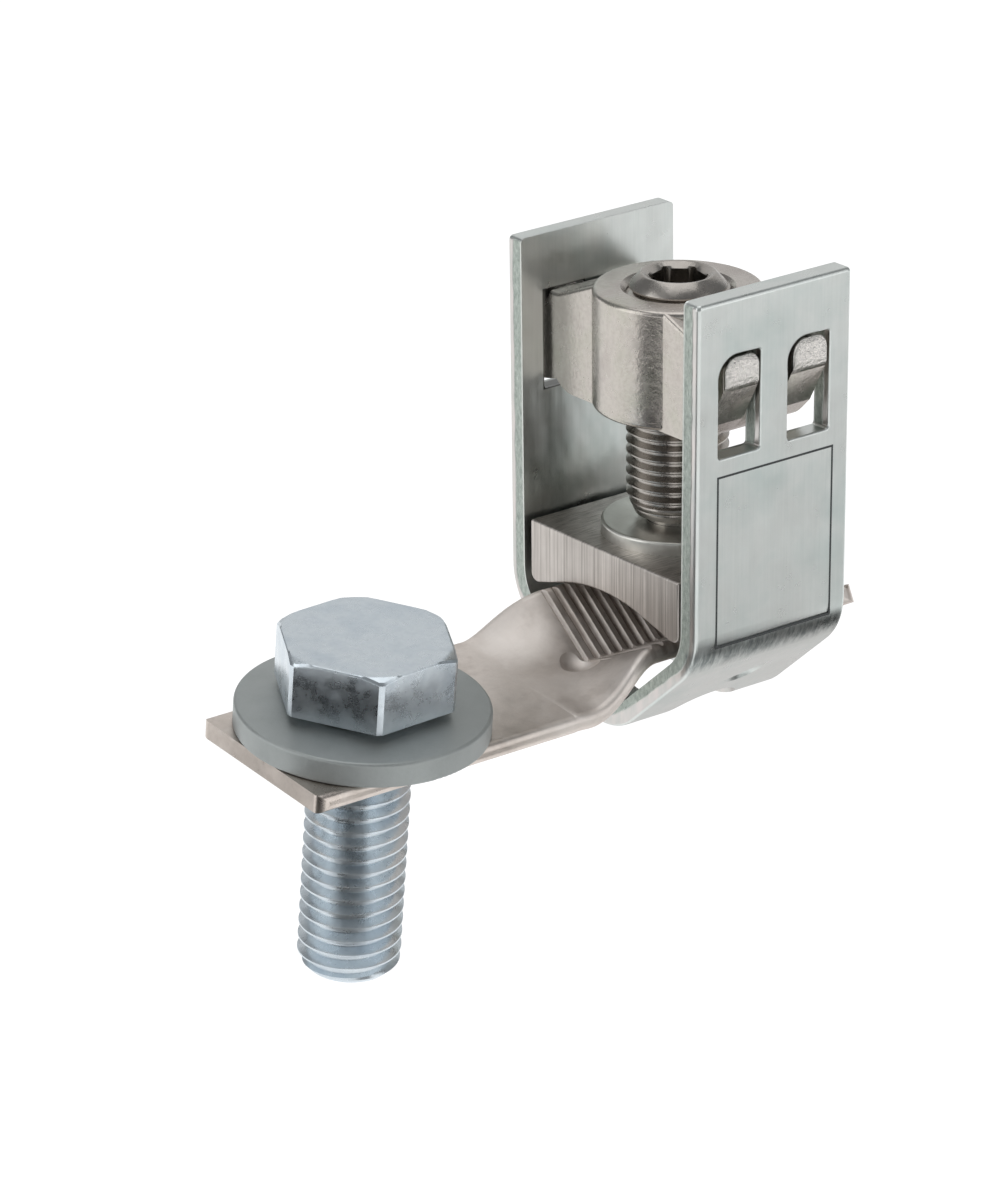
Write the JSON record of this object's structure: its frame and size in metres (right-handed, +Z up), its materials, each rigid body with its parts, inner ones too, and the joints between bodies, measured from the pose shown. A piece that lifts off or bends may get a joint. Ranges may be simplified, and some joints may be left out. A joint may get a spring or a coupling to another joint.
{
  "type": "v-type terminal clamp",
  "caption": "Cable terminal clamp: folded tongue with V trough and bolt hole, leaning steel frame, threaded bridge and socket screw with pressure block.",
  "frame": {"origin": "centre of the bolt hole on the underside of the tongue, the face that is bolted down", "axes": "+Z up along the bolt to its head, +X along the tongue to the clamp, +Y towards the leg without the marking field; the clamp screw leans 6.5 degrees from +Z to +Y"},
  "size_m": [0.0797, 0.0377, 0.0785],
  "materials": {
    "plated_copper": "tin-plated copper, satin with pressed cross ridges",
    "zinc_plated_strip": "clear zinc plate with fine vertical grain",
    "plated_bridge": "nickel-plated, smooth",
    "plated_screw": "nickel-plated thread",
    "plated_disc": "satin",
    "plated_block": "milled and tin-plated",
    "zinc_bolt": "blue-passivated zinc",
    "coated_washer": "matte zinc-flake grey"
  },
  "bodies": {
    "clamp": {"contact_tongue": "plated_copper", "clamp_bracket": "zinc_plated_strip", "screw_bridge": "plated_bridge", "spring_washer": "coated_washer"},
    "saddle": {"pressure_block": "plated_block", "thrust_disc": "plated_disc"},
    "screw": {"clamp_screw": "plated_screw"},
    "bolt": {"hex_bolt": "zinc_bolt"}
  },
  "joints": [
    {"name": "saddle_lift", "type": "slide", "parent": "clamp", "child": "saddle", "axis": [0, 0.1132, 0.9936], "range_m": [0, 0.0135]},
    {"name": "screw_turn", "type": "hinge", "parent": "saddle", "child": "screw", "pos_m": [0.0451, 0.0045, 0.0486], "axis": [0, 0.1132, 0.9936], "range_deg": [0, 3889]},
    {"name": "bolt_turn", "type": "hinge", "parent": "clamp", "child": "bolt", "pos_m": [0, 0, 0], "axis": [0, 0, 1], "continuous": true}
  ],
  "couplings": [
    {"joint": "screw_turn", "follows": "saddle_lift", "rad_per_m": 5026.5}
  ]
}
